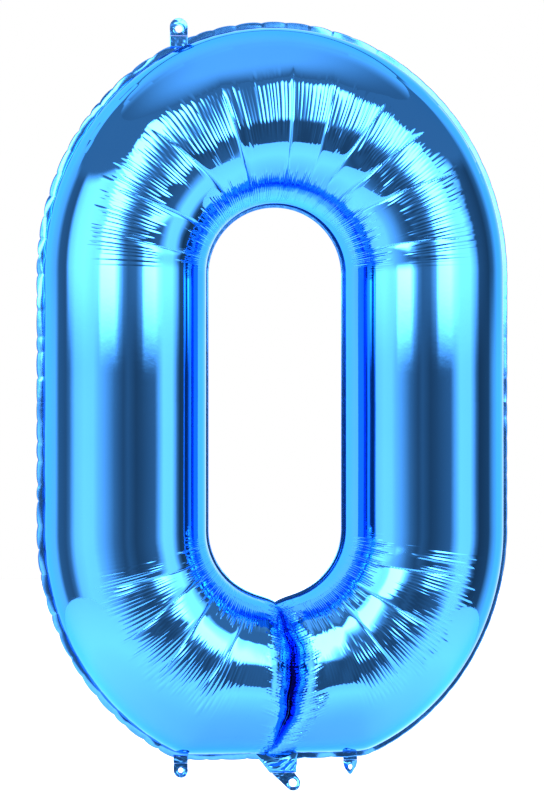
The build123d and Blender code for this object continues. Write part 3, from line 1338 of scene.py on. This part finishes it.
# The wall from behind, round by the left, the camera side and the right, in the order of WallTone's values.
WALL_TONES = tuple(WallTone(*row) for row in (
    (-180, 1.9, 1.9, 2.3), (-122, 1.8, 1.8, 2.3), (-106, 1.3, 1.6), (-98, 0.32, 0.32),
    (-85, 0.25, 0.25), (-79, 2.3, 0.45), (-70, 3.2, 1.9), (-57, 3.5, 2.3), (-45, 3.0, 2.2),
    (-38, 3.2, 1.6, 1.8), (-34, 9.5, 1.4, 2.1), (-17, 10.5, 0.45, 2.1), (-11, 3.0, 0.30, 2.1),
    (-5, 0.8, 0.20, 2.1), (1, 0.38, 0.28, 2.1), (12, 0.45, 0.16, 2.1), (20, 1.4, 0.20, 2.1),
    (25, 8.0, 0.24, 2.1), (40, 9.5, 0.35, 2.1), (46, 5.6, 1.2, 2.0), (54, 3.5, 2.4), (69, 3.4, 2.3),
    (79, 1.6, 0.40), (84, 0.25, 0.12), (102, 0.15, 0.18), (112, 0.35, 1.0), (124, 1.4, 1.7, 2.3),
    (180, 1.9, 1.9, 2.3),
))


@dataclass
class Studio:
    """A white room with a dark camera side, tall soft boxes and a pale floor.

    The floor's painted shade is pairs of a distance in metres from the middle and a grey: a painted shadow
    darkens it under the balloon.
    """

    middle: Vector
    floor_z: float = -0.34
    floor_half: float = 9.0
    floor_front: float = 1.7
    floor_reach: float = 2.4
    # Painted shadow: the floor's grey is darker under the balloon, brightest about 0.95 m out and darker
    # again beyond.
    floor_painted_shade: tuple[tuple[float, float], ...] = ((0.0, 0.58), (0.45, 0.72), (0.95, 0.92), (2.2, 0.66))
    floor_sun: float = 5.6
    wall_radius: float = 1.7
    wall_top: float = 2.4
    tallest: float = 4.0
    lamp_foot: tuple[float, float] = (0.47, 0.66)
    brightest: float = 12.0
    side_ceiling: float = 0.42
    lamp_ceiling: float = 1.65
    backdrop: float = 2.0
    under_floor: float = 0.2
    camera_distance: float = 3.2
    view_height: float = 0.900
    sensor: float = 36.0

    def turned(self, add: partial, output: str) -> bpy.types.Node:
        """Splits a coordinate into axes that are square to the camera's bearing.

        Args:
            add: Adds a node to the material.
            output: Which coordinate.

        Returns:
            The node whose outputs are X, Y and Z.
        """
        place = add("TexCoord", {}).outputs[output]
        turn = add("VectorRotate", {"Vector": place, "Angle": -CAMERA_AZIMUTH}, rotation_type="Z_AXIS")
        return add("SeparateXYZ", {0: turn})

    def walls(self) -> None:
        """Stands the round wall whose soft boxes and dark gaps show in the foil."""
        radius = self.wall_radius
        depth = self.wall_top - self.floor_z
        shape = bmesh.new()
        bmesh.ops.create_cone(shape, segments=180, radius1=radius, radius2=radius, depth=depth)
        bmesh.ops.translate(shape, verts=shape.verts, vec=(0, 0, (self.wall_top + self.floor_z) / 2))
        wall = to_object("studio_wall", shape)
        paint = bpy.data.materials.new("studio_wall")
        paint.use_nodes = True
        paint.node_tree.nodes.clear()
        add = partial(add_node, paint.node_tree)
        axes = self.turned(add, "Object")
        towards = add("Math", {0: axes.outputs["Y"], 1: -1.0}, operation="MULTIPLY")
        bearing = add("Math", {0: axes.outputs["X"], 1: towards}, operation="ARCTAN2")
        spread = add("MapRange", {"Value": bearing, "From Min": -math.pi, "From Max": math.pi})
        ramp = add("ValToRGB", {"Fac": spread})
        stops = ramp.color_ramp.elements
        for tone in WALL_TONES[1:-1]:
            stops.new((tone.bearing + 180) / 360)
        for stop, tone in zip(stops, WALL_TONES):
            stop.position = (tone.bearing + 180) / 360
            stop.color[:2] = (tone.high / self.brightest, tone.low / self.brightest)
            stop.color[2:] = (tone.top / self.tallest, 1.0)
        high, low, top = add("SeparateColor", {0: ramp}).outputs
        foot, head = self.lamp_foot
        height = axes.outputs["Z"]
        above = add("MapRange", {"Value": height, "From Min": foot, "From Max": head}, **SOFT_STEP)
        level = add("Mix", {"Factor": above, 2: low, 3: high})
        top_height = add("Math", {0: top, 1: self.tallest}, operation="MULTIPLY")
        over = add("Math", {0: height, 1: top_height}, operation="SUBTRACT")
        ended = add("MapRange", {"Value": over, "From Min": -0.12, "From Max": 0.05}, **SOFT_STEP)
        shown = add("Mix", {"Factor": ended, 2: level, 3: self.side_ceiling / self.brightest})
        strength = add("Math", {0: shown, 1: self.brightest}, operation="MULTIPLY")
        add("OutputMaterial", {"Surface": add("Emission", {"Color": WHITE, "Strength": strength})})
        wall.data.materials.append(paint)
        wall.visible_camera = False
        wall.visible_diffuse = False
        wall.visible_shadow = False

    def world(self) -> None:
        """Builds the ceiling's light as seen by the foil, and plain white as seen directly."""
        world = bpy.data.worlds.new("white_studio")
        world.use_nodes = True
        bpy.context.scene.world = world
        world.node_tree.nodes.clear()
        add = partial(add_node, world.node_tree)
        axes = self.turned(add, "Generated")
        off_centre = add("Math", {0: axes.outputs["X"]}, operation="ABSOLUTE")
        span = {"From Min": 0.20, "From Max": 0.80, "To Min": 1.0, "To Max": 0.0}
        beside = add("MapRange", {"Value": off_centre, **span}, **SOFT_STEP)
        high = add("MapRange", {"Value": axes.outputs["Z"], "From Min": 0.70, "From Max": 0.92}, **SOFT_STEP)
        panel = add("Math", {0: beside, 1: high}, operation="MULTIPLY")
        ceiling = add("MapRange", {"Value": panel, "To Min": self.side_ceiling, "To Max": self.lamp_ceiling})
        behind = add("MapRange", {"Value": axes.outputs["Y"], "From Min": 0.0, "From Max": 0.5}, **SOFT_STEP)
        upper = add("Mix", {"Factor": behind, 2: ceiling, 3: self.backdrop})
        below = add("MapRange", {"Value": axes.outputs["Z"], "From Min": 0.02, "From Max": -0.02})
        room = add("Mix", {"Factor": below, 2: upper, 3: self.under_floor})
        seen_by_foil = add("Background", {"Strength": room})
        seen_directly = add("Background", {"Color": WHITE, "Strength": 1.0})
        direct = add("LightPath", {}).outputs["Is Camera Ray"]
        both = add("MixShader", {0: direct, 1: seen_by_foil, 2: seen_directly})
        add("OutputWorld", {"Surface": both})

    def floor(self) -> None:
        """Lays the pale floor, well below the balloon, and the lamp that keeps it white.

        The strip in front of the lamps is hidden from the foil, which sees the dark room there.
        """
        paint = bpy.data.materials.new("white_floor")
        paint.use_nodes = True
        tree = paint.node_tree
        add = partial(add_node, tree)
        shader = tree.nodes["Principled BSDF"]
        shader.inputs["Roughness"].default_value = 0.9
        place = add("TexCoord", {}).outputs["Object"]
        flat = add("Mapping", {"Vector": place, "Scale": (1.0, 1.0, 0.0)})
        away = add("VectorMath", {0: flat}, operation="LENGTH").outputs["Value"]
        share = add("MapRange", {"Value": away, "From Min": 0.0, "From Max": self.floor_reach})
        # Painted shadow: this ramp makes the floor's grey darker under the balloon and lighter further out.
        tone = add("ValToRGB", {"Fac": share})
        stops = tone.color_ramp.elements
        for _ in self.floor_painted_shade[2:]:
            stops.new(0.5)
        for stop, (reach, level) in zip(stops, self.floor_painted_shade):
            stop.position = reach / self.floor_reach
            stop.color = (level, level, level, 1.0)
        tree.links.new(tone.outputs["Color"], shader.inputs["Base Color"])
        spans = {
            "studio_floor": (-self.floor_front, self.floor_half),
            "studio_floor_front": (-self.floor_half, -self.floor_front),
        }
        for name, (front, back) in spans.items():
            shape = bmesh.new()
            bmesh.ops.create_grid(shape, x_segments=2, y_segments=2, size=1.0)
            bmesh.ops.scale(shape, verts=shape.verts, vec=(self.floor_half, (back - front) / 2, 1.0))
            bmesh.ops.translate(shape, verts=shape.verts, vec=(0, (front + back) / 2, self.floor_z))
            floor = to_object(name, shape)
            floor.data.materials.append(paint)
            floor.visible_glossy = name == "studio_floor"
        sun = bpy.data.lights.new("floor_lamp", "SUN")
        sun.energy = self.floor_sun
        sun.angle = 1.4
        overhead = bpy.data.objects.new("floor_lamp", sun)
        overhead.visible_glossy = False
        bpy.context.scene.collection.objects.link(overhead)

    def camera(self) -> None:
        """Places the camera a little to the left of square on, at the number's mid-height."""
        data = bpy.data.cameras.new("camera")
        data.sensor_width = self.sensor
        data.lens = self.sensor * self.camera_distance / self.view_height
        data.dof.use_dof = False
        camera = bpy.data.objects.new("camera", data)
        back = Vector((math.sin(CAMERA_AZIMUTH), -math.cos(CAMERA_AZIMUTH), 0.0))
        right = Vector((math.cos(CAMERA_AZIMUTH), math.sin(CAMERA_AZIMUTH), 0.0))
        target = self.middle - 3.4 * MM * right + Vector((0, 0, 2.3 * MM))
        camera.location = target + back * self.camera_distance
        camera.rotation_mode = "QUATERNION"
        camera.rotation_quaternion = (-back).to_track_quat("-Z", "Y")
        bpy.context.scene.collection.objects.link(camera)
        bpy.context.scene.camera = camera

    def build(self) -> None:
        """Makes the room, the floor and the camera."""
        self.world()
        self.walls()
        self.floor()
        self.camera()
        bpy.context.scene.view_settings.view_transform = "Standard"


def main() -> None:
    """Builds every sub-assembly round the frame."""
    logging.basicConfig(level=logging.INFO, format="%(name)s: %(message)s")
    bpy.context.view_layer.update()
    shape = NumberShape.from_frame()
    Studio(middle=Vector((shape.centre_x, 0.0, shape.centre_z))).build()
    envelope = Envelope(shape)
    for part in (envelope, Margins(envelope), SmallParts()):
        part.build()


if __name__ == "__main__":
    main()
